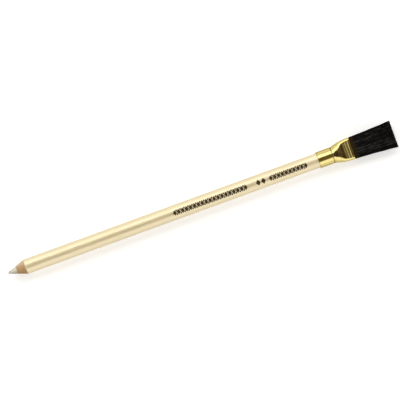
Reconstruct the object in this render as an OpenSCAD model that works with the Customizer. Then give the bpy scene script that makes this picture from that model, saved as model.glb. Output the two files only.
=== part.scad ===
// Eraser pencil: a sharpened round stick with a rubber core, and a flat brush in a ferrule at its
// other end. It lies along X with its point at -X and its brush at +X, and the brush's flat faces
// look up and down.
// Millimetres. The origin is under the middle of the stick, on the surface that it lies on.

/* [Stick] */
// Length from the point to the ends of the bristles
total_len = 203; // [198:0.5:212]
// Diameter of the lacquered stick
barrel_d = 7.5; // [7.2:0.05:7.5]
// Thickness of the lacquer coat
lacquer_t = 0.16; // [0.16:0.01:0.2]
// Diameter of the rubber core
core_d = 4.1; // [3:0.1:4.4]
// Length of the sharpened point, up to the edge of the lacquer
point_len = 9.4; // [8:0.05:12]
// Diameter of the worn round tip of the core
tip_d = 1.2; // [0.5:0.05:1.6]

/* [Ferrule] */
// Distance from the point to the ferrule's edge on the stick
ferrule_start = 163.1; // [150:0.1:164]
// Outer diameter of its round part
ferrule_d = 8.15; // [8.15:0.05:8.6]
// Width of its flat mouth
mouth_w = 11.2; // [10.7:0.05:11.25]
// Thickness of its wall
wall_t = 0.3; // [0.25:0.01:0.3]
// Depth of the crimp ring that grips the stick
crimp_depth = 0.1; // [0.05:0.01:0.25]
// Depth of the shallower crease ring behind it
crease_depth = 0.05; // [0.03:0.01:0.12]
// Height of the beads pressed across the flat mouth
bead_h = 0.19; // [0.05:0.01:0.2]
// Number of those beads
beads = 3; // [1:1:3]

/* [Brush] */
// Width of the bristles at their ends
brush_w = 13.6; // [12.5:0.05:14]
// Thickness of the bristles at their ends
brush_t = 3.6; // [3.4:0.1:4.5]
// How far the brush leans towards -Y at its ends
brush_lean = 0.4; // [0:0.05:0.6]
// Number of bristle rows through the thickness
bristle_rows = 10; // [9:1:10]
// Distance between bristles along a row, at the mouth
bristle_step = 0.2; // [0.195:0.005:0.22]
// Radius of a three-sided bristle at the mouth
bristle_r = 0.11; // [0.08:0.005:0.11]
// How unevenly long the bristles are
bristle_ragged = 0.6; // [0:0.1:1]

/* [Hidden] */

// The stick's cylinders and cones
$fn = 96;
tip_x = -total_len / 2;
axis_h = ferrule_d / 2;
barrel_r = barrel_d / 2;
wood_r = barrel_r - lacquer_t;
core_r = core_d / 2;
tip_r = tip_d / 2;
tip_sides = 5;

// Half the angle of the sharpened cone, which is tangent to the round tip
cone_reach = point_len - tip_r;
cone_angle = acos(tip_r / norm([barrel_r, cone_reach])) - atan2(cone_reach, barrel_r);

// The lacquer ends just inside the ferrule. The bare wood goes on past the crimp ring,
// to where the tube starts to flatten
coat_end = ferrule_start + 0.1;
stick_end = ferrule_start + 8;
crimp_at = stick_end - 0.7;
crimp_w = 0.8;
crease_at = stick_end + 2.95;
crease_w = 0.7;
// Room for glue between the tube and its filling
glue_gap = 0.02;
// Radius of the groove that the crimp ring presses into the wood
groove_r = min(wood_r, ferrule_d / 2 - wall_t - crimp_depth - glue_gap);

// The ferrule's sections, by distance from the point
ferrule_end = ferrule_start + 17.6;
mouth_len = 0.8;
flat_len = ferrule_end - mouth_len - stick_end;
lip_len = 0.25;
lip_drop = 0.1;
ring_points = 40;
flat_steps = 5;
start_bulge = 0.5;
bulge_from = 2.4;
bulge_to = 5.1;
bead_pitch = 1.35;
bead_w = 1.05;
bead_first = ferrule_end - 1 - (beads - 1) * bead_pitch;

// The brush
backing_end = ferrule_end - 0.4;
backing_start = backing_end - 1.6;
root_depth = 0.5;
row_inset = 0.18;
bristle_sides = 3;

// A piece turned about the stick's axis, from points of radius and distance from the point
module turned(outline) {
    translate([tip_x, 0, axis_h])
        rotate([0, 90, 0])
            rotate_extrude()
                polygon(outline);
}

// Distance from the point at which the sharpened cone has a radius
function cone_distance(r) = point_len - (barrel_r - r) / tan(cone_angle);

// Both slats glued together, with the bore of their grooves
module casing_blank() {
    turned([
        [core_r, cone_distance(core_r)],
        [wood_r, cone_distance(wood_r)],
        [wood_r, crimp_at - crimp_w / 2],
        [groove_r, crimp_at - crimp_w / 6],
        [groove_r, crimp_at + crimp_w / 6],
        [wood_r, crimp_at + crimp_w / 2],
        [wood_r, stick_end],
        [core_r, stick_end]
    ]);
}

// One side of the glued casing: 1 for above its glue line, -1 for below
module casing_half(side) {
    intersection() {
        casing_blank();
        translate([tip_x, -barrel_d, side > 0 ? axis_h : axis_h - barrel_d])
            cube([total_len, 2 * barrel_d, barrel_d]);
    }
}

module casing_half_upper() {
    color([0.80, 0.64, 0.44])
        casing_half(1);
}

module casing_half_lower() {
    color([0.74, 0.57, 0.37])
        casing_half(-1);
}

// The rubber rod, with its worn tip as an arc
module eraser_core() {
    tip_arc = [
        for (i = [1 : tip_sides])
            let (a = i * (90 - cone_angle) / tip_sides)
            [tip_r * sin(a), tip_r * (1 - cos(a))]
    ];
    color([0.84, 0.82, 0.76])
        turned(concat(
            [[0, 0]],
            tip_arc,
            [[core_r, cone_distance(core_r)], [core_r, stick_end], [0, stick_end]]
        ));
}

module lacquer_coat() {
    color([0.96, 0.90, 0.76])
        turned([
            [wood_r, cone_distance(wood_r)],
            [barrel_r, point_len],
            [barrel_r, coat_end],
            [wood_r, coat_end]
        ]);
}

// How far the tube is pressed flat at a distance from the point: 0 where it is round, 1 along its mouth
function flattened(d) = 1 - pow(1 - min(1, max(0, d - stick_end) / flat_len), 2);
function half_width(d) = (ferrule_d + flattened(d) * (mouth_w - ferrule_d)) / 2;

// How much the pressed sides still bulge, from 1 for an ellipse to 0 for straight sides
function ease(x) = x < 0 ? 0 : x > 1 ? 1 : x * x * (3 - 2 * x);
function bulge(d) = start_bulge * (1 - ease((d - stick_end - bulge_from) / (bulge_to - bulge_from)));

// A pressed tube keeps its girth, so its thickness shrinks as it widens. Its section is two half
// circles, parted by sides that take this much girth for their length
function side_girth(d) = 4 - (4 - PI) * bulge(d);
function end_r(d) = (PI * ferrule_d - side_girth(d) * half_width(d)) / (2 * PI - side_girth(d));
function half_side(d) = half_width(d) - end_r(d);

// Height of a round-topped bump, as a share, at a distance from its middle
function bump(offset, width) = abs(offset) >= width / 2 ? 0 : pow(cos(180 * offset / width), 2);
function bead_height(d) =
    bead_h * max([for (i = [0 : beads - 1]) bump(d - bead_first - i * bead_pitch, bead_w)]);
function groove_depth(d) =
    crimp_depth * bump(d - crimp_at, crimp_w) + crease_depth * bump(d - crease_at, crease_w);
function lip_inset(d) = lip_drop * max(0, 1 - (d - ferrule_start) / lip_len);

// One ring of points round the tube, set in from its outer surface. Its corners stand out a little,
// so that the middles of its facets are on the true outline
function ring(d, inset) =
    let (
        r = (end_r(d) - inset - groove_depth(d)) / cos(180 / ring_points),
        lift = 1 + bead_height(d) / r
    )
    [for (i = [0 : ring_points - 1])
        let (
            a = (i + 0.5) * 360 / ring_points,
            out = sign(cos(a)) * pow(abs(cos(a)), bulge(d)) * half_side(d)
        )
        [tip_x + d, r * cos(a) + out, axis_h + r * sin(a) * lift]];

// Skin through a list of rings, closed by a flat face at each end
module skin(rings) {
    count = len(rings[0]);
    last = len(rings) - 1;
    polyhedron(
        points = [for (one = rings) each one],
        faces = concat(
            [[for (i = [0 : count - 1]) i]],
            [for (k = [0 : last - 1], i = [0 : count - 1], upper = [true, false])
                let (j = (i + 1) % count, a = k * count, b = a + count)
                upper ? [a + i, b + i, b + j] : [a + i, b + j, a + j]],
            [[for (i = [count - 1 : -1 : 0]) last * count + i]]
        ),
        convexity = 4
    );
}

// Distances at which the tube's shape changes
function steps(from, to, count) = [for (i = [0 : count - 1]) from + i * (to - from) / count];
crimp_stations = [for (i = [-3 : 3]) crimp_at + i * crimp_w / 6];
crease_stations = steps(crease_at - crease_w / 2, crease_at + crease_w / 2, 4);
bead_stations = [for (i = [0 : beads - 1], k = [-2 : 2]) bead_first + i * bead_pitch + k * bead_w / 4];
stations = concat(
    [ferrule_start, ferrule_start + lip_len],
    crimp_stations,
    steps(stick_end, crease_at - crease_w / 2, flat_steps),
    crease_stations,
    steps(crease_at + crease_w / 2, bead_first - bead_w / 2, flat_steps),
    bead_stations,
    [ferrule_end]
);

// The tube: an outer skin less an inner one that runs past both ends
module ferrule() {
    color([0.86, 0.70, 0.28])
        difference() {
            skin([for (d = stations) ring(d, lip_inset(d))]);
            skin(concat(
                [[for (p = ring(ferrule_start, wall_t)) p - [1, 0, 0]]],
                [for (d = stations) ring(d, wall_t)],
                [[for (p = ring(ferrule_end, wall_t)) p + [1, 0, 0]]]
            ));
        }
}

// What fills the tube between two distances from the point
module filling(from, to) {
    between = [for (d = stations) if (d > from && d < to) d];
    skin([for (d = concat([from], between, [to])) ring(d, wall_t + glue_gap)]);
}

module root_plug() {
    color([0.45, 0.33, 0.16])
        filling(stick_end, backing_start);
}

// A number from 0 to 1 that looks random but is the same each time
function scatter(seed) = abs(sin(seed * 78.233) * 4375.85453) % 1;

// The rows fill the mouth's own shape, so each is half this long at its height over the middle
rows_half_t = end_r(ferrule_end) - wall_t - row_inset;
rows_half_side = half_side(ferrule_end);
function row_height(row) = rows_half_t * (2 * row / (bristle_rows - 1) - 1);
function row_half(z) = rows_half_side + sqrt(max(0, rows_half_t * rows_half_t - z * z));

// How much wider and thicker the brush is at its ends than at the mouth
spread_y = (brush_w / 2 - bristle_r) / row_half(0);
spread_z = (brush_t / 2 - bristle_r) / rows_half_t;

// One bristle, a straight prism from the backing to its end. It stands for a lock of hairs, and
// widens as they part
module bristle(y, z, seed) {
    root_x = tip_x + backing_end - root_depth;
    end_x = tip_x + total_len - bristle_ragged * scatter(seed);
    middles = [
        [root_x, y, axis_h + z],
        [end_x, y * spread_y - brush_lean, axis_h + z * spread_z]
    ];
    skin([for (k = [0, 1])
        [for (i = [0 : bristle_sides - 1])
            let (a = i * 360 / bristle_sides, r = bristle_r * (k == 0 ? 1 : spread_y))
            middles[k] + r * [0, cos(a), sin(a)]]]);
}

// The bristles and the slice of resin that they stand in, trimmed together to the brush's full length
module bristle_tuft() {
    back = [tip_x + backing_start, 0, axis_h];
    color([0.09, 0.085, 0.085])
        translate(back)
            resize([total_len - backing_start, 0, 0])
                translate(-back) {
                    filling(backing_start, backing_end);
                    for (row = [0 : bristle_rows - 1]) {
                        z = row_height(row);
                        gaps = floor(2 * row_half(z) / bristle_step);
                        for (i = [0 : gaps])
                            bristle(row_half(z) * (2 * i / gaps - 1), z, 100 * row + i + 1);
                    }
                }
}

casing_half_upper();
casing_half_lower();
eraser_core();
lacquer_coat();
ferrule();
root_plug();
bristle_tuft();
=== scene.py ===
import math
import random

import bpy
from mathutils import Euler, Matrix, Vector, noise

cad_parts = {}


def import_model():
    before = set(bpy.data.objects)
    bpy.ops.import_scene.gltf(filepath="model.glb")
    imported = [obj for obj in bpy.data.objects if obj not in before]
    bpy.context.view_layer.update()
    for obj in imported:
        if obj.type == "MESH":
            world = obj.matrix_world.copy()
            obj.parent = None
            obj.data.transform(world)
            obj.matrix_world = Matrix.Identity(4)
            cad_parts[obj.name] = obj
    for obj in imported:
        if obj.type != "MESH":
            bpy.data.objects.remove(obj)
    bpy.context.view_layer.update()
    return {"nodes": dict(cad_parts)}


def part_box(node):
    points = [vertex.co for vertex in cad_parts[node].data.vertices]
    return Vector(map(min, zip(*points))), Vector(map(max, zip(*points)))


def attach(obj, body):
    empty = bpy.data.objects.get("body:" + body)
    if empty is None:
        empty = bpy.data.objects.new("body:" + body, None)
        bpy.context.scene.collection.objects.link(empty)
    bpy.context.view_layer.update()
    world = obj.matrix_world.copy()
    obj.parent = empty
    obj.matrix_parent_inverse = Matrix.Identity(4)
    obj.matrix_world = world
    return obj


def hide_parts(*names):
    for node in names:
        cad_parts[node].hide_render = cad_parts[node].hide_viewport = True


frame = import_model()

# Sizes taken from the frame, in millimetres: along the stick from the point, and across it from its axis
MM = 0.001
core_low, core_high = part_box("eraser_core")
wood_low, wood_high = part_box("casing_half_upper")
coat_low, coat_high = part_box("lacquer_coat")
tube_low, tube_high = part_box("ferrule")
tuft_low, tuft_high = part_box("bristle_tuft")
TIP_X = core_low.x
AXIS_H = (coat_low.z + coat_high.z) / 2
BARREL_R = (coat_high.z - coat_low.z) / 2 / MM
WOOD_R = (wood_high.y - wood_low.y) / 2 / MM
CORE_R = (core_high.z - core_low.z) / 2 / MM
COAT_END = (coat_high.x - TIP_X) / MM
STICK_END = (core_high.x - TIP_X) / MM
TUBE_START = (tube_low.x - TIP_X) / MM
TUBE_END = (tube_high.x - TIP_X) / MM
BRUSH_BACK = (tuft_low.x - TIP_X) / MM
BRUSH_END = (tuft_high.x - TIP_X) / MM
TUBE_R = AXIS_H / MM
MOUTH_W = (tube_high.y - tube_low.y) / MM

# Sizes that the frame doesn't give, in millimetres
POINT_LEN = 9.4
TIP_R = 0.6
# How far the lacquer has broken back from the sharpener's cut
COAT_BACK = 0.22
WALL_T = 0.3
CRIMP_DEPTH = 0.1
CRIMP_W = 1.0
CRIMP_AT = STICK_END - 0.5
# From the mouth backwards, each bead was pressed a little lower
BEAD_HEIGHTS = [0.215, 0.205, 0.18]
BEAD_W = 1.05
BEAD_PITCH = 1.35
FIRST_BEAD_AT = TUBE_END - 0.87
BEADS_AT = [FIRST_BEAD_AT - i * BEAD_PITCH for i in range(len(BEAD_HEIGHTS))]
# The face of the resin that holds the bristles
BACKING_END = TUBE_END - 0.4

CONE_REACH = POINT_LEN - TIP_R
CONE_ANGLE = math.acos(TIP_R / math.hypot(BARREL_R, CONE_REACH)) - math.atan2(CONE_REACH, BARREL_R)


# Shapes

def point(d, y, z):
    """A place in the frame, from millimetres along the stick, across it and up from its axis."""
    return Vector((TIP_X + d * MM, y * MM, AXIS_H + z * MM))


def polar(d, r, a):
    """A place at radius r and angle a round the stick. Angle 0 is +Y and a quarter turn is up."""
    return point(d, r * math.cos(a), r * math.sin(a))


def cone_distance(r):
    """Where along the stick the sharpened cone has radius r."""
    return POINT_LEN - (BARREL_R - r) / math.tan(CONE_ANGLE)


def cone_radius(d):
    """The radius of the sharpened cone at a distance from the point."""
    return BARREL_R - (POINT_LEN - d) * math.tan(CONE_ANGLE)


def rough(x, y, z, size):
    """Smooth noise from -1 to 1 whose features are about size across."""
    return noise.noise(Vector((x, y, z)) / size)


def bump(offset, width):
    """A smooth hump of the given width, 1 at its middle and 0 outside it."""
    return 0.0 if abs(offset) >= width / 2 else math.cos(math.pi * offset / width) ** 2


def spread(first, last, count):
    """Evenly spaced values from first to last."""
    return [first + (last - first) * i / (count - 1) for i in range(count)]


def mesh_piece(name, points, faces, crease=35.0):
    """An object of these points and faces, smooth but for edges sharper than crease degrees."""
    mesh = bpy.data.meshes.new(name)
    mesh.from_pydata(points, [], faces)
    mesh.validate()
    mesh.shade_smooth()
    mesh.set_sharp_from_angle(angle=math.radians(crease))
    piece = bpy.data.objects.new(name, mesh)
    bpy.context.collection.objects.link(piece)
    return piece


def loft_faces(count, loops, wrap, start=0):
    """Faces between loops of count points each. They close round, or each end gets a flat face."""
    faces = []
    for k in range(loops if wrap else loops - 1):
        here, there = start + k * count, start + (k + 1) % loops * count
        for i in range(count):
            j = (i + 1) % count
            faces.append((here + i, here + j, there + j, there + i))
    if not wrap:
        last = start + (loops - 1) * count
        faces.append(tuple(range(start + count - 1, start - 1, -1)))
        faces.append(tuple(range(last, last + count)))
    return faces


def loft(name, loops, wrap=False, crease=35.0):
    """An object whose skin runs from each closed loop of points to the next."""
    points = [p for loop in loops for p in loop]
    return mesh_piece(name, points, loft_faces(len(loops[0]), len(loops), wrap), crease)


# Materials

def material(name, **values):
    """A Principled material. A value's name is its socket's, with _ for a space."""
    made = bpy.data.materials.new(name)
    made.use_nodes = True
    shader = made.node_tree.nodes["Principled BSDF"]
    for socket, value in values.items():
        shader.inputs[socket.replace("_", " ")].default_value = value
    return made, shader


def add(made, kind, inputs=None, **settings):
    """A node of a material or the world. An input is a number, a colour or another node's output."""
    node = made.node_tree.nodes.new(kind)
    for key, value in settings.items():
        setattr(node, key, value)
    for key, value in (inputs or {}).items():
        if isinstance(value, bpy.types.NodeSocket):
            made.node_tree.links.new(value, node.inputs[key])
        else:
            node.inputs[key].default_value = value
    return node


def place(made, stretch=(1, 1, 1), shift=(0, 0, 0)):
    """The surface's own place in millimetres, stretched along each axis."""
    where = add(made, "ShaderNodeTexCoord").outputs["Object"]
    scale = [1 / MM / s for s in stretch]
    return add(made, "ShaderNodeMapping", {"Vector": where, "Scale": scale, "Location": shift}).outputs[0]


def cloud(made, size, stretch=(1, 1, 1), detail=3.0, shift=(0, 0, 0)):
    """Noise from 0 to 1 with features of about size millimetres."""
    where = place(made, stretch, shift)
    inputs = {"Vector": where, "Scale": 1 / size, "Detail": detail, "Roughness": 0.55}
    return add(made, "ShaderNodeTexNoise", inputs).outputs["Fac"]


def ramp(made, factor, stops):
    """A colour ramp through stops of (place, colour)."""
    node = add(made, "ShaderNodeValToRGB", {"Fac": factor})
    elements = node.color_ramp.elements
    while len(elements) < len(stops):
        elements.new(0.5)
    for element, (at, colour) in zip(elements, stops):
        element.position = at
        element.color = (*colour, 1)
    return node.outputs["Color"]


def level(made, factor, low, high, start=0.0, end=1.0):
    """A factor brought from start..end to low..high."""
    inputs = {"Value": factor, "From Min": start, "From Max": end, "To Min": low, "To Max": high}
    return add(made, "ShaderNodeMapRange", inputs).outputs["Result"]


def mix(made, factor, first, second):
    """The colour that turns from first to second as factor goes from 0 to 1."""
    node = add(made, "ShaderNodeMix", data_type="RGBA")
    sockets = {s.identifier: s for s in node.inputs}
    made.node_tree.links.new(factor, sockets["Factor_Float"])
    for key, colour in (("A_Color", first), ("B_Color", second)):
        if isinstance(colour, bpy.types.NodeSocket):
            made.node_tree.links.new(colour, sockets[key])
        else:
            sockets[key].default_value = (*colour, 1)
    return next(s for s in node.outputs if s.identifier == "Result_Color")


def calc(made, operation, first, second):
    """The sum, product or greater of two values."""
    return add(made, "ShaderNodeMath", {0: first, 1: second}, operation=operation).outputs[0]


def relief(made, shader, height, depth):
    """Bump on a shader from a height of 0 to 1 that stands for depth millimetres."""
    node = add(made, "ShaderNodeBump", {"Height": height, "Distance": depth * MM, "Strength": 1.0})
    made.node_tree.links.new(node.outputs["Normal"], shader.inputs["Normal"])


def feed(made, shader, socket, value):
    """Links a value to a shader's socket."""
    made.node_tree.links.new(value, shader.inputs[socket])


CREAM = (0.85, 0.73, 0.48)
CREAM_DEEP = (0.81, 0.69, 0.44)
CREAM_FLAKE = (1.0, 0.90, 0.66)


def lacquer_material():
    """Pearl cream lacquer: a satin base with fine flakes under a clear glossy coat, with faint scuffs."""
    made, shader = material("pearl_cream_lacquer", Metallic=0.65, Coat_Weight=0.6, Coat_Roughness=0.1)
    shader.inputs["Specular Tint"].default_value = (0.25, 0.22, 0.16, 1)
    flakes = add(made, "ShaderNodeTexVoronoi", {"Vector": place(made), "Scale": 9.0}, feature="F1")
    sparkle = add(made, "ShaderNodeSeparateColor", {"Color": flakes.outputs["Color"]}).outputs["Red"]
    drift = cloud(made, 9.0, stretch=(4, 1, 1))
    base = ramp(made, drift, [(0.3, CREAM_DEEP), (0.7, CREAM)])
    feed(made, shader, "Base Color", mix(made, level(made, sparkle, 0.0, 0.16), base, CREAM_FLAKE))
    scuffs = cloud(made, 0.5, stretch=(14, 1, 1), detail=5.0, shift=(7, 3, 1))
    feed(made, shader, "Roughness", level(made, scuffs, 0.46, 0.60, start=0.35, end=0.75))
    ripple = cloud(made, 1.4, stretch=(3, 1, 1), detail=2.0)
    relief(made, shader, calc(made, "ADD", ripple, calc(made, "MULTIPLY", sparkle, 0.25)), 0.004)
    return made


WOOD_PAINTED_LIGHT = (0.85, 0.68, 0.45)
WOOD_PALE = (0.76, 0.53, 0.29)
WOOD_MID = (0.66, 0.41, 0.19)
WOOD_DARK = (0.43, 0.24, 0.095)
WOOD_PORE = tuple(0.45 * c for c in WOOD_DARK)


def wood_material(name, shift):
    """Bare cut wood: long grain, darker growth lines and pores, and the rings that a sharpener leaves.

    It is painted paler towards +Y and darker towards -Y: painted light and painted shade."""
    made, shader = material(name, Specular_IOR_Level=0.35)
    grain = cloud(made, 0.5, stretch=(9, 1, 1), detail=6.0, shift=shift)
    where = place(made, (9, 1, 1), shift)
    lines = add(
        made, "ShaderNodeTexWave", {"Vector": where, "Scale": 0.55, "Distortion": 5.0, "Detail": 3.0},
        wave_type="BANDS", bands_direction="Y"
    ).outputs["Fac"]
    pores = cloud(made, 0.11, stretch=(7, 1, 1), detail=2.0, shift=shift)
    base = ramp(made, grain, [(0.3, WOOD_DARK), (0.52, WOOD_MID), (0.72, WOOD_PALE)])
    base = mix(made, calc(made, "MULTIPLY", lines, 0.3), base, WOOD_DARK)
    across = add(made, "ShaderNodeSeparateXYZ", {"Vector": place(made)}).outputs["Y"]
    # Painted shade: the wood is darker towards -Y.
    base = mix(made, level(made, across, 0.0, 0.85, start=0.0, end=-BARREL_R), base, WOOD_DARK)
    # Painted light: the wood is paler towards +Y.
    base = mix(made, level(made, across, 0.0, 0.8, start=0.3, end=2.6), base, WOOD_PAINTED_LIGHT)
    base = mix(made, level(made, pores, 0.45, 0.0, start=0.30, end=0.42), base, WOOD_PORE)
    feed(made, shader, "Base Color", base)
    marks = add(
        made, "ShaderNodeTexWave", {"Vector": place(made), "Scale": 1.1, "Distortion": 1.2, "Detail": 2.0},
        wave_type="BANDS", bands_direction="X"
    ).outputs["Fac"]
    height = calc(made, "ADD", calc(made, "MULTIPLY", marks, 0.5), calc(made, "ADD", grain, pores))
    relief(made, shader, height, 0.03)
    feed(made, shader, "Roughness", level(made, grain, 0.52, 0.78))
    return made


RUBBER = (0.88, 0.84, 0.70)
RUBBER_DUSTY = (0.76, 0.725, 0.60)
RUBBER_PAINTED_LIGHT = (0.97, 0.92, 0.80)
RUBBER_GRIT = (0.30, 0.29, 0.27)
RUBBER_SMUDGE_AND_SHADE = (0.30, 0.29, 0.23)


def rubber_material():
    """Off-white abrasive rubber: fine grit, a dusty bloom, a grey smudge on its tip, and painted shade in
    the same grey towards -Y.

    It is painted paler towards +Y: painted light."""
    made, shader = material("eraser_rubber", Roughness=0.88, Specular_IOR_Level=0.25, Subsurface_Weight=0.08)
    shader.inputs["Subsurface Radius"].default_value = (0.0012, 0.0009, 0.0006)
    shader.inputs["Subsurface Scale"].default_value = 0.3
    bloom = cloud(made, 1.3, detail=4.0)
    base = ramp(made, bloom, [(0.3, RUBBER_DUSTY), (0.7, RUBBER)])
    grit = cloud(made, 0.06, detail=1.0)
    base = mix(made, level(made, grit, 0.55, 0.0, start=0.30, end=0.40), base, RUBBER_GRIT)
    where = add(made, "ShaderNodeSeparateXYZ", {"Vector": place(made)}).outputs
    # Painted light: the rubber is paler towards +Y.
    base = mix(made, level(made, where["Y"], 0.0, 0.8, start=0.0, end=1.2), base, RUBBER_PAINTED_LIGHT)
    tip = level(made, where["X"], 0.4, 0.0, start=TIP_X / MM, end=TIP_X / MM + 1.6)
    # Painted shade: the smudge's grey spreads over the rubber towards -Y.
    side = level(made, where["Y"], 0.0, 0.8, start=0.0, end=-1.3)
    patches = level(made, cloud(made, 0.5, shift=(2, 5, 8)), 0.4, 0.8, start=0.3, end=0.7)
    smudge_and_shade = calc(made, "MULTIPLY", calc(made, "ADD", tip, side), patches)
    feed(made, shader, "Base Color", mix(made, smudge_and_shade, base, RUBBER_SMUDGE_AND_SHADE))
    relief(made, shader, calc(made, "ADD", grit, cloud(made, 0.35, detail=3.0)), 0.05)
    return made


GOLD = (0.67, 0.555, 0.225)
GOLD_DULL = (0.62, 0.51, 0.195)
TARNISH_AND_SHADE = (0.20, 0.12, 0.025)


def gold_material():
    """Polished gold-coloured metal with hair scratches round the tube, and tarnish with painted shade in its
    grooves, at its ends and inside.
    """
    made, shader = material("gold_metal", Metallic=1.0)
    shader.inputs["Specular Tint"].default_value = (0.2, 0.16, 0.08, 1)
    tarnish_and_shade = add(made, "ShaderNodeAttribute", attribute_name="tarnish_and_shade").outputs["Fac"]
    stain = cloud(made, 2.4, detail=4.0, shift=(3, 1, 4))
    base = ramp(made, stain, [(0.3, GOLD_DULL), (0.7, GOLD)])
    # Tarnish, and painted shade in the tarnish colour, in the grooves, at the ends and inside.
    dark = calc(made, "MULTIPLY", tarnish_and_shade, level(made, stain, 0.6, 1.0))
    feed(made, shader, "Base Color", mix(made, dark, base, TARNISH_AND_SHADE))
    scratches = cloud(made, 0.07, stretch=(1, 16, 16))
    scratched = level(made, scratches, 0.0, 0.07, start=0.4, end=0.8)
    worn = calc(made, "ADD", scratched, level(made, stain, 0.14, 0.21))
    feed(made, shader, "Roughness", calc(made, "ADD", worn, calc(made, "MULTIPLY", tarnish_and_shade, 0.2)))
    relief(made, shader, calc(made, "ADD", scratches, calc(made, "MULTIPLY", cloud(made, 1.8), 2.0)), 0.004)
    return made


BLACK = (0.002, 0.0018, 0.0015)
BLACK_SOFT = (0.003, 0.0027, 0.0024)
BLACK_PALE_AND_SHEEN = (0.050, 0.047, 0.042)
ROOT_BROWN = (0.055, 0.032, 0.005)


def bristle_material():
    """Stiff near-black bristle in lighter and darker locks, with painted sheen in streaks along them, and
    brown round the roots.

    The locks open towards the bristles' ends, so their tones and the painted sheen grow further apart there."""
    made, shader = material("black_bristle", Specular_IOR_Level=0.08)
    tone = add(made, "ShaderNodeAttribute", attribute_name="tone").outputs["Fac"]
    along = add(made, "ShaderNodeSeparateXYZ", {"Vector": place(made)}).outputs["X"]
    mouth = TIP_X / MM + TUBE_END
    # Painted sheen: lighter streaks along the locks, on top of tones that differ at random.
    sheen_streaks = cloud(made, 0.6, stretch=(5, 1, 1), detail=4.0)
    sheen_streaks = level(made, sheen_streaks, -0.8, 0.8, start=0.35, end=0.70)
    opening = level(made, along, 0.25, 1.6, start=mouth, end=mouth + 22)
    shade = calc(made, "ADD", tone, calc(made, "MULTIPLY", sheen_streaks, opening))
    base = ramp(made, shade, [(0.0, BLACK), (0.45, BLACK_SOFT), (1.0, BLACK_PALE_AND_SHEEN)])
    # The bristles turn brown near the mouth, fading out by 3 mm from it.
    root_brown = level(made, along, 0.9, 0.0, start=mouth + 0.2, end=mouth + 3.0)
    feed(made, shader, "Base Color", mix(made, root_brown, base, ROOT_BROWN))
    feed(made, shader, "Roughness", level(made, tone, 0.42, 0.62))
    return made


AMBER = (0.13, 0.075, 0.026)
AMBER_DARK = (0.05, 0.028, 0.010)


def resin_material():
    """Hard amber resin with a soft gloss, darker in places."""
    made, shader = material("setting_resin", Roughness=0.35, Coat_Weight=0.4, Coat_Roughness=0.15)
    base = ramp(made, cloud(made, 1.0, detail=4.0), [(0.3, AMBER_DARK), (0.7, AMBER)])
    feed(made, shader, "Base Color", base)
    relief(made, shader, cloud(made, 0.3, detail=3.0), 0.05)
    return made


FOIL = (0.052, 0.036, 0.016)
FOIL_DEEP = (0.035, 0.023, 0.010)
FOIL_WORN = (0.20, 0.145, 0.075)


def foil_material():
    """Dark brown stamping foil, thin and a little broken up where the stamp pressed unevenly."""
    made, shader = material("brown_foil", Metallic=0.2, Roughness=0.38)
    wear = cloud(made, 0.16, detail=4.0)
    feed(made, shader, "Base Color", ramp(made, wear, [(0.30, FOIL_WORN), (0.42, FOIL), (0.8, FOIL_DEEP)]))
    relief(made, shader, wear, 0.004)
    return made


def finish_piece(piece, made, slot, *nodes):
    """Gives a piece its material, lets it ride on the part and stand for its nodes. Its slot is not used."""
    piece.data.materials.append(made)
    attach(piece, "root")
    if nodes:
        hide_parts(*nodes)
    return piece


# The stick

CONE_RINGS = 59
SLAT_SIDES = 120
CORE_SIDES = 128
COAT_SIDES = 256
CHATTER_PITCH = 0.42
# The glue line between the slats shows as a fine groove in the cut cone
SEAM_ANGLE = math.radians(1.2)
SEAM_DEPTH = 0.022
# How far the rubber stands proud of the wood where the cone meets it, and over what length
PROUD = 0.035
PROUD_LEN = 1.6
# The lacquer's cut edge is this much lower than its surface
COAT_LIP = 0.045


def cut_mark(d, a):
    """How far the sharpener's blade left the cone over or under its true radius, in millimetres."""
    chatter = math.sin(2 * math.pi * d / CHATTER_PITCH + 2 * a + 1.5 * rough(d, a, 3, 1.5))
    fibre = rough(0.35 * d, 3.6 * math.cos(a), 3.6 * math.sin(a), 0.28)
    return 0.006 * chatter + 0.010 * fibre


def casing_half(name, side, made):
    """One slat of the casing, swept half way round from one glue face to the other."""
    cone = spread(cone_distance(CORE_R), cone_distance(WOOD_R), CONE_RINGS)
    loops = []
    for a in spread(0, side * math.pi, SLAT_SIDES + 1):
        seam = 1 - min(1, min(abs(a), abs(math.pi - abs(a))) / SEAM_ANGLE)
        loop = [polar(d, cone_radius(d) + cut_mark(d, a) - SEAM_DEPTH * seam, a) for d in cone]
        loops.append(loop + [polar(STICK_END, WOOD_R, a), polar(STICK_END, CORE_R, a)])
    return finish_piece(loft(name, loops, crease=50), made, "casing_wood", name)


def rub_mark(d, r, a):
    """How far use has left the rubber over or under its true radius, in millimetres."""
    y, z = r * math.cos(a), r * math.sin(a)
    return min(r, 1) * (0.028 * rough(d, y, z, 0.55) + 0.010 * rough(d, 9 + y, z, 0.16))


def eraser_core(made):
    """The rubber rod: a worn dome, a cone a hair proud of the wood, and its length inside the casing."""
    dome_angles = spread(0.06, math.pi / 2 - CONE_ANGLE, 9)
    dome = [(TIP_R * (1 - math.cos(b)), TIP_R * math.sin(b)) for b in dome_angles]
    cone_end = cone_distance(CORE_R)
    cone = [(d, cone_radius(d)) for d in spread(dome[-1][0], cone_end, 56)[1:]]
    angles = spread(0, 2 * math.pi, CORE_SIDES + 1)[:-1]
    loops = []
    for d, r in dome + cone:
        proud = PROUD * bump(d - cone_end, PROUD_LEN) if d < cone_end - 0.05 else 0.0
        loops.append([polar(d, r + proud + rub_mark(d, r, a), a) for a in angles])
    for d in spread(cone_end + 0.02, STICK_END, 12):
        loops.append([polar(d, CORE_R, a) for a in angles])
    return finish_piece(loft("eraser_core", loops, crease=60), made, "eraser_rubber", "eraser_core")


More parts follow.
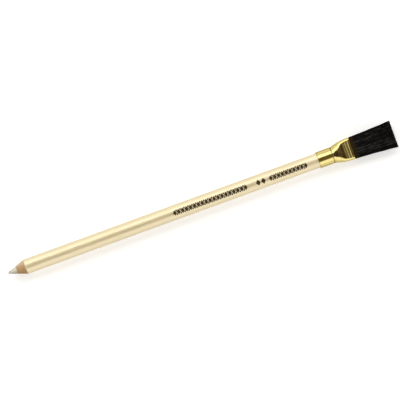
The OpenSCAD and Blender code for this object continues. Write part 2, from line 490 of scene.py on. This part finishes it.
def coat_edge(a):
    """How far the lacquer's cut edge strays along the stick: the cutter's tilt, and small chips."""
    y, z = math.cos(a), math.sin(a)
    chips = max(0.0, rough(y, z, 5, 0.075) - 0.35)
    return 0.06 * rough(y, z, 1, 0.5) + 0.02 * rough(y, z, 2, 0.12) + 0.22 * chips


def lacquer_coat(made):
    """The lacquer as a thin sleeve, with a cut edge on the cone and gentle sags along the barrel."""
    inner_edge, outer_edge = cone_distance(WOOD_R), cone_distance(BARREL_R)
    along = spread(outer_edge + 0.6, COAT_END, 110)
    loops = []
    for a in spread(0, 2 * math.pi, COAT_SIDES + 1)[:-1]:
        stray = coat_edge(a)
        loop = [(inner_edge + COAT_BACK + stray, WOOD_R), (outer_edge + stray, BARREL_R - COAT_LIP)]
        loop.append((outer_edge + COAT_LIP + stray, BARREL_R))
        for d in along:
            sag = 0.004 * rough(d / 6, 2 * math.cos(a), 2 * math.sin(a), 1.0)
            loop.append((d, BARREL_R + sag * min(1, (d - along[0]) / 3, (COAT_END - d) / 3)))
        loop.append((COAT_END, WOOD_R))
        loops.append([polar(d, r, a) for d, r in loop])
    return finish_piece(loft("lacquer_coat", loops, wrap=True), made, "cream_lacquer", "lacquer_coat")


# Plain stamped ornament along the barrel's top

ORNAMENT_ANGLE = math.pi / 2 + 0.07
FOIL_OVER = 0.012
FOIL_UNDER = 0.03
STAMP_H = 3.0
STAMP_STEPS = 10
LOZENGE_PITCH = 2.1
LOZENGE_W = 1.9
SMALL_W = 1.15
SMALL_H = 0.38 * STAMP_H
LONE_W = 2.5
LONE_H = 3.2
# Where the ornament runs and stands, in millimetres from the point
LONG_ROW = (87.6, 124.8)
LONE_MARKS = (131.5, 134.2)
SHORT_ROW = (138.0, 156.4)


def lozenge(d, across, width, height):
    """Loops of one stamped lozenge that bends round the barrel."""
    loops = []
    for share in spread(-1, 1, STAMP_STEPS):
        a = ORNAMENT_ANGLE + (across + share * height / 2) / BARREL_R
        w = max(0.03, width / 2 * (1 - abs(share)))
        under, over = BARREL_R - FOIL_UNDER, BARREL_R + FOIL_OVER
        corners = [(d - w, under), (d + w, under), (d + w, over), (d - w, over)]
        loops.append([polar(along, r, a) for along, r in corners])
    return loops


def garland(first, last):
    """A row of tall lozenges with a pair of small ones in each gap between them."""
    count = round((last - first) / LOZENGE_PITCH) + 1
    pitch = (last - first) / (count - 1)
    marks = [lozenge(d, 0, LOZENGE_W, STAMP_H) for d in spread(first, last, count)]
    for d in spread(first + pitch / 2, last - pitch / 2, count - 1):
        marks += [lozenge(d, across, SMALL_W, SMALL_H) for across in (-0.33 * STAMP_H, 0.33 * STAMP_H)]
    return marks


def stamped_ornament(made):
    """Two rows of lozenges and two that stand alone between them."""
    marks = garland(*LONG_ROW) + garland(*SHORT_ROW)
    marks += [lozenge(d, 0, LONE_W, LONE_H) for d in LONE_MARKS]
    points, faces = [], []
    for loops in marks:
        faces += loft_faces(4, len(loops), False, len(points))
        points += [p for loop in loops for p in loop]
    return finish_piece(mesh_piece("stamped_ornament", points, faces), made, "brown_foil")


# The ferrule

TUBE_SIDES = 192
TUBE_ANGLES = [2 * math.pi * (i + 0.5) / TUBE_SIDES for i in range(TUBE_SIDES)]
CREASE_AT = STICK_END + 2.95
CREASE_DEPTH = 0.05
CREASE_W = 0.7
MOUTH_LEN = 0.8
LIP_R = 0.11
FLAT_LEN = TUBE_END - MOUTH_LEN - STICK_END
START_BULGE = 0.5
BULGE_FROM = STICK_END + 2.4
BULGE_TO = STICK_END + 5.1


def half_width(d):
    """Half the tube's width, which widens from the stick's end to the mouth."""
    flattened = 1 - (1 - min(1, max(0, d - STICK_END) / FLAT_LEN)) ** 2
    return TUBE_R + flattened * (MOUTH_W / 2 - TUBE_R)


def bulge(d):
    """How much the pressed sides still bulge, from 1 for an ellipse to 0 for straight sides."""
    share = min(1, max(0, (d - BULGE_FROM) / (BULGE_TO - BULGE_FROM)))
    return START_BULGE * (1 - share * share * (3 - 2 * share))


def end_radius(d):
    """Half the tube's thickness. A pressed tube keeps its girth, so it gets thinner as it widens."""
    side_girth = 4 - (4 - math.pi) * bulge(d)
    return (2 * math.pi * TUBE_R - side_girth * half_width(d)) / (2 * math.pi - side_girth)


def half_side(d):
    """Half the length of the tube's flat faces between their round ends."""
    return half_width(d) - end_radius(d)


def groove_depth(d):
    """How deep the crimp ring and the crease press the tube in."""
    return CRIMP_DEPTH * bump(d - CRIMP_AT, CRIMP_W) + CREASE_DEPTH * bump(d - CREASE_AT, CREASE_W)


def bead_height(d):
    """How far the beads across the mouth stand up."""
    return max(height * bump(d - at, BEAD_W) for height, at in zip(BEAD_HEIGHTS, BEADS_AT))


def tube_point(d, a, inset):
    """A place on the tube, at a distance from the point and an angle round it, under its outer surface."""
    r = end_radius(d) - inset - groove_depth(d)
    lift = 1 + bead_height(d) / r
    out = math.copysign(half_side(d) * abs(math.cos(a)) ** bulge(d), math.cos(a))
    return point(d, r * math.cos(a) + out, r * math.sin(a) * lift)


def tube_tarnish_and_shade(d):
    """From 0 to 1, how much tarnish and painted shade sit along the tube: at its ends and in its rings."""
    rings = max(bump(d - CRIMP_AT, CRIMP_W), 0.3 * bump(d - CREASE_AT, CREASE_W))
    ends = max(bump(d - TUBE_START, 1.0), bump(d - TUBE_END, 0.5))
    return min(1.0, rings + 0.7 * ends)


def ferrule(made):
    """The tube as one closed wall: its rolled lip, outside, mouth and inside."""
    turns = spread(0, math.pi / 2, 6)
    lip = [(TUBE_START + LIP_R * (1 - math.cos(b)), LIP_R * (1 - math.sin(b))) for b in turns]
    smooth = spread(TUBE_START + 0.4, CRIMP_AT - CRIMP_W / 2, 20)
    crimp = spread(CRIMP_AT - CRIMP_W / 2, CRIMP_AT + CRIMP_W / 2, 15)[1:]
    flare = spread(CRIMP_AT + CRIMP_W / 2, BEADS_AT[-1] - BEAD_W / 2, 64)[1:]
    ridged = spread(BEADS_AT[-1] - BEAD_W / 2, TUBE_END - 0.06, 60)[1:]
    outside = lip + [(d, 0.0) for d in smooth + crimp + flare + ridged] + [(TUBE_END, 0.05)]
    inside = [(TUBE_END, WALL_T - 0.05)] + [(d, WALL_T) for d in (smooth + crimp + flare + ridged)[::-2]]
    inside.append((TUBE_START, WALL_T))
    profile = outside + inside
    loops = []
    for a in TUBE_ANGLES:
        loops.append([tube_point(d, a, inset) for d, inset in profile])
    piece = loft("ferrule", loops, wrap=True, crease=45)
    tarnish_and_shade = piece.data.attributes.new("tarnish_and_shade", "FLOAT", "POINT")
    # The inside of the tube gets the full tarnish and painted shade.
    values = [tube_tarnish_and_shade(d) if i < len(outside) else 1.0 for i, (d, _) in enumerate(profile)]
    tarnish_and_shade.data.foreach_set("value", values * len(loops))
    return finish_piece(piece, made, "gold_metal", "ferrule")


# The brush

BRISTLE_STEP = 0.118
ROW_STEP = 0.866 * BRISTLE_STEP
BRISTLE_R = 0.06
BRISTLE_RINGS = 12
BRISTLE_SIDES = 4
BRUSH_W = (tuft_high.y - tuft_low.y) / MM
BRUSH_LEAN = -(tuft_high.y + tuft_low.y) / 2 / MM
BRUSH_T = (tuft_high.z - tuft_low.z) / MM
# The bristles stand this far in from the tube's outside, within these half sizes, out of their exact rows
ROOT_INSET = 0.42
ROOTS_W = half_width(TUBE_END) - ROOT_INSET
ROOTS_T = end_radius(TUBE_END) - ROOT_INSET
ROOT_SCATTER = 0.03
# How far the bristles swell out past the lip of the mouth, and where
SWELL = 0.1
SWELL_AT = 0.45
# How far the outermost hairs stray past the solid brush, and how ragged its end is
STRAY = 0.25
RAGGED = 0.45
# How far locks of hairs gather across the brush and up at their ends
LOCK_ACROSS = 0.22
LOCK_UP = 0.096
# How far a lock waves from side to side, and how often along its length
LOCK_CURL = 0.09
LOCK_WAVES = 2.6
# Over the last part of its length a bristle tapers to this share of its thickness
TAPER_FROM = 0.55
TAPER_TO = 0.45
# How far the resin creeps up the wall of the mouth
CREEP = 0.12


def bristle_roots():
    """Places across the mouth, on a loose triangular pattern, at which bristles stand."""
    roots = []
    rows = int(ROOTS_T / ROW_STEP)
    for row in range(-rows, rows + 1):
        z = row * ROW_STEP
        reach = half_side(TUBE_END) + math.sqrt(max(0, ROOTS_T ** 2 - z ** 2))
        for i in range(int(2 * reach / BRISTLE_STEP)):
            y = -reach + BRISTLE_STEP * (i + (0.75 if row % 2 else 0.25))
            roots.append((y, z))
    return roots


def bristle_end(rng, y, z):
    """Where the bristle that stands at y and z ends: along the stick, across it and up."""
    side, top = BRUSH_W / 2 + STRAY, BRUSH_T / 2 - 0.06
    gather = LOCK_ACROSS * rough(y, 2 * z, 4, 0.9) * (1 - abs(y) / ROOTS_W)
    end_y = y * side / ROOTS_W + gather + rng.gauss(0, 0.05)
    end_z = z * (top - 0.06) / ROOTS_T + LOCK_UP * rough(y, 2 * z, 9, 0.8) + rng.gauss(0, 0.04)
    short = RAGGED * abs(rng.gauss(0, 0.45)) + 0.25 * (1 + rough(y, z, 2, 0.7)) / 2
    if rng.random() < 0.03:
        short += rng.uniform(0.3, 1.4)
    return BRUSH_END - short, max(-side, min(side, end_y)), max(-top, min(top, end_z))


def bristle_path(y, z, end, wave, turn):
    """A bristle's middle line, from its root in the resin over the swell at the mouth to its end."""
    end_d, end_y, end_z = end
    from_d, from_y = TUBE_END + SWELL_AT, y * (MOUTH_W / 2 + SWELL) / ROOTS_W
    phase = 5 * rough(y, 2 * z, 12, 1.1)
    path = [(BACKING_END - 0.3, y, z), (TUBE_END, y, z)]
    for t in spread(0, 1, BRISTLE_RINGS - 2):
        sway = wave * math.sin(1.7 * math.pi * t + turn) * t
        curl = LOCK_CURL * t * math.sin(2 * math.pi * LOCK_WAVES * t + phase)
        middle_y = from_y + (end_y - from_y) * t ** 1.4 - BRUSH_LEAN * t + curl + sway * math.cos(turn)
        middle_z = z + (end_z - z) * t + sway * math.sin(turn)
        path.append((from_d + (end_d - from_d) * t, middle_y, middle_z))
    return path


def bristle_tuft(made):
    """Fine tapered bristles that spread a little from the mouth and gather in loose locks.

    Each has a tone from 0 to 1. The tones of the locks grow further apart towards the ends."""
    rng = random.Random(7)
    points, faces, tones = [], [], []
    for y, z in bristle_roots():
        y += rng.uniform(-1, 1) * ROOT_SCATTER
        z += rng.uniform(-1, 1) * ROOT_SCATTER
        end = bristle_end(rng, y, z)
        wave = rng.uniform(0.02, 0.09)
        turn = rng.uniform(0, 2 * math.pi)
        contrast = 1.7 * rough(y, 2 * z, 6, 0.7) + rng.gauss(0, 0.12)
        faces += loft_faces(BRISTLE_SIDES, BRISTLE_RINGS, False, len(points))
        for d, middle_y, middle_z in bristle_path(y, z, end, wave, turn):
            share = max(0, (d - TUBE_END) / (end[0] - TUBE_END))
            r = BRISTLE_R * (1 - (1 - TAPER_TO) * max(0, share - TAPER_FROM) / (1 - TAPER_FROM))
            for i in range(BRISTLE_SIDES):
                b = 2 * math.pi * i / BRISTLE_SIDES + turn
                points.append(point(d, middle_y + r * math.cos(b), middle_z + r * math.sin(b)))
            tone = 0.6 - 0.2 * share + contrast * (0.1 + 1.5 * share)
            tones += [min(1.0, max(0.0, tone))] * BRISTLE_SIDES
    piece = mesh_piece("bristle_tuft", points, faces, crease=80)
    piece.data.attributes.new("tone", "FLOAT", "POINT").data.foreach_set("value", tones)
    return finish_piece(piece, made, "black_bristle", "bristle_tuft")


def brush_backing(made):
    """The face of set resin that the bristles stand in, just inside the mouth, which creeps up the wall."""
    loops = []
    face_at = BACKING_END - 0.05
    for d in (BRUSH_BACK, face_at):
        loops.append([tube_point(d, a, WALL_T) for a in TUBE_ANGLES])
    rim = [tube_point(BACKING_END, a, WALL_T) for a in TUBE_ANGLES]
    for share in (1.0, 0.97, 0.9, 0.6, 0.2):
        creep = CREEP * max(0, share - 0.9) / 0.1
        axis = point(face_at + creep, 0, 0)
        loops.append([Vector((axis.x, *(axis.yz + (p.yz - axis.yz) * share))) for p in rim])
    return finish_piece(loft("brush_backing", loops, crease=60), made, "setting_resin")


# Studio

# The camera's lens and sensor, in millimetres
CAMERA_LENS = 300.0
CAMERA_SENSOR = 36.0
# The photograph is 400 px across, which is this many metres at the stick, which rises to the right
PHOTO_SPAN = 0.1979
STICK_TILT = math.radians(20)
# Where the photograph's middle falls, in millimetres from the point and towards +Y
PHOTO_MIDDLE = (101.5, 1.54)
# How high the dark cards hang in metres, and how they spread from overhead, in degrees towards +Y and +X
CARD_HEIGHT = 2.2
CARD_ACROSS = (-34, 27)
CARD_ALONG = (-36, 24)
CARD_COLOUR = (0.58, 0.43, 0.12)
# A darker one goes on from the first towards +X
FLAG_ALONG = (24, 68)
FLAG_COLOUR = (0.17, 0.07, 0.0)
# How bright the world is for all but the rays that show it
WORLD_LIGHT = 0.5
# The soft lamps' edges in degrees from overhead towards +Y, their radiance, and their sizes in metres
FAR_LAMP = (26, 63.5, 1.5)
NEAR_LAMP = (-33, -77, 0.6)
LAMP_LENGTH = 4.4
LAMP_DISTANCE = 1.25
# Half the floor's side, in metres
FLOOR_REACH = 12.0
# The floor's colour as the camera and the gloss see it, and as it lights the stick
FLOOR_WHITE = (0.9, 0.9, 0.9)
FLOOR_GREY = (0.42, 0.42, 0.42)
# The part of the seen floor's white that is its own, which keeps the stick's shadow faint
FLOOR_GLOW = 0.47


def camera():
    """The photograph's view: straight down, from far off, with the stick rising to the right."""
    data = bpy.data.cameras.new("camera")
    data.lens = CAMERA_LENS
    data.sensor_width = CAMERA_SENSOR
    distance = PHOTO_SPAN * CAMERA_LENS / CAMERA_SENSOR
    data.clip_start, data.clip_end = 0.05, 50
    made = bpy.data.objects.new("camera", data)
    made.location = point(PHOTO_MIDDLE[0], PHOTO_MIDDLE[1], 0) + Vector((0, 0, distance))
    made.rotation_euler = (0, 0, -STICK_TILT)
    bpy.context.collection.objects.link(made)
    bpy.context.scene.camera = made


def seen(made):
    """1 for the rays that show a surface or the world as it looks, and 0 for those that light with it."""
    path = add(made, "ShaderNodeLightPath").outputs
    shown = calc(made, "MAXIMUM", path["Is Camera Ray"], path["Is Glossy Ray"])
    return calc(made, "MAXIMUM", shown, path["Is Transmission Ray"])


def floor():
    """A plain white floor that keeps a faint shadow of the stick."""
    made, shader = material("white_floor", Roughness=0.9, Specular_IOR_Level=0.1)
    shown = seen(made)
    feed(made, shader, "Base Color", mix(made, shown, FLOOR_GREY, FLOOR_WHITE))
    shader.inputs["Emission Color"].default_value = (1, 1, 1, 1)
    feed(made, shader, "Emission Strength", calc(made, "MULTIPLY", shown, FLOOR_GLOW))
    reach = FLOOR_REACH
    corners = [(-reach, -reach, 0), (reach, -reach, 0), (reach, reach, 0), (-reach, reach, 0)]
    piece = mesh_piece("floor", corners, [(0, 1, 2, 3)])
    piece.data.materials.append(made)


def card(name, along, colour):
    """A dark card high over the stick, which the gloss shows as a dark line between the two soft lamps."""
    made, shader = material(name, Roughness=0.9, Specular_IOR_Level=0.1)
    shader.inputs["Base Color"].default_value = (*colour, 1)
    near, far = (CARD_HEIGHT * math.tan(math.radians(a)) for a in CARD_ACROSS)
    left, right = (CARD_HEIGHT * math.tan(math.radians(a)) for a in along)
    outline = [(left, near), (left, far), (right, far), (right, near)]
    piece = mesh_piece(name, [(x, y, CARD_HEIGHT) for x, y in outline], [(0, 1, 2, 3)])
    piece.data.materials.append(made)


def soft_lamp(name, first, last, radiance):
    """A long soft box along the stick, between two angles in degrees from overhead towards +Y."""
    data = bpy.data.lights.new(name, "AREA")
    data.shape = "RECTANGLE"
    data.size = LAMP_LENGTH
    data.size_y = 2 * LAMP_DISTANCE * math.tan(math.radians(abs(last - first) / 2))
    data.energy = radiance * math.pi * data.size * data.size_y
    made = bpy.data.objects.new(name, data)
    angle = math.radians((first + last) / 2)
    made.location = Vector((0, math.sin(angle), math.cos(angle))) * LAMP_DISTANCE
    made.rotation_euler = Euler((-angle, 0, 0))
    made.visible_camera = False
    bpy.context.collection.objects.link(made)


def world():
    """White where it is seen, and a plain soft light on the stick."""
    made = bpy.data.worlds.new("world")
    made.use_nodes = True
    background = made.node_tree.nodes["Background"]
    background.inputs["Color"].default_value = (1, 1, 1, 1)
    feed(made, background, "Strength", level(made, seen(made), WORLD_LIGHT, 1.0))
    bpy.context.scene.world = made


camera()
world()
floor()
card("ceiling_card", CARD_ALONG, CARD_COLOUR)
card("ceiling_flag", FLAG_ALONG, FLAG_COLOUR)
soft_lamp("soft_lamp_far", *FAR_LAMP)
soft_lamp("soft_lamp_near", *NEAR_LAMP)

casing_half("casing_half_upper", 1, wood_material("casing_wood_upper", (3, 1, 2)))
casing_half("casing_half_lower", -1, wood_material("casing_wood_lower", (40, 9, 5)))
eraser_core(rubber_material())
lacquer_coat(lacquer_material())
stamped_ornament(foil_material())
ferrule(gold_material())
bristle_tuft(bristle_material())
resin = resin_material()
brush_backing(resin)
plug = frame["nodes"]["root_plug"]
plug.data.materials.clear()
plug.data.materials.append(resin)

bpy.context.scene.view_settings.view_transform = "Standard"
